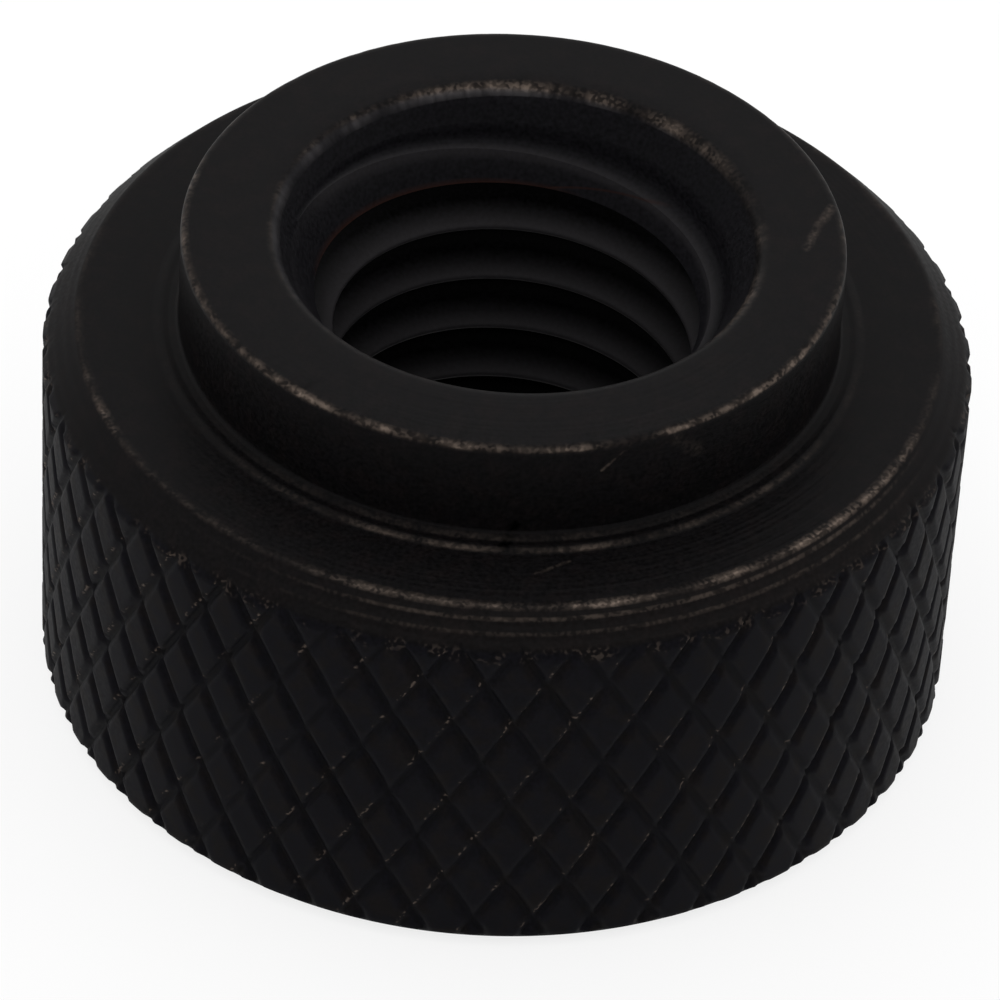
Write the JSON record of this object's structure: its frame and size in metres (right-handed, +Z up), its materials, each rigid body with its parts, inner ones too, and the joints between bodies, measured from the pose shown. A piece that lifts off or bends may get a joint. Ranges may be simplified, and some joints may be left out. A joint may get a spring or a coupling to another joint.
{
  "type": "knurled thumb nut",
  "caption": "Round black steel nut with a diamond-knurled grip, a plain raised collar and a threaded bore, made to be turned by hand.",
  "frame": {"origin": "centre of the grip's flat base", "axes": "+Z up the bore, from the grip's base to the collar"},
  "size_m": [0.025, 0.025, 0.0142],
  "materials": {
    "black_steel": "black oxide over turned steel, worn to bare metal along its edges"
  },
  "bodies": {
    "root": {"thumb_nut": "black_steel"}
  },
  "joints": []
}
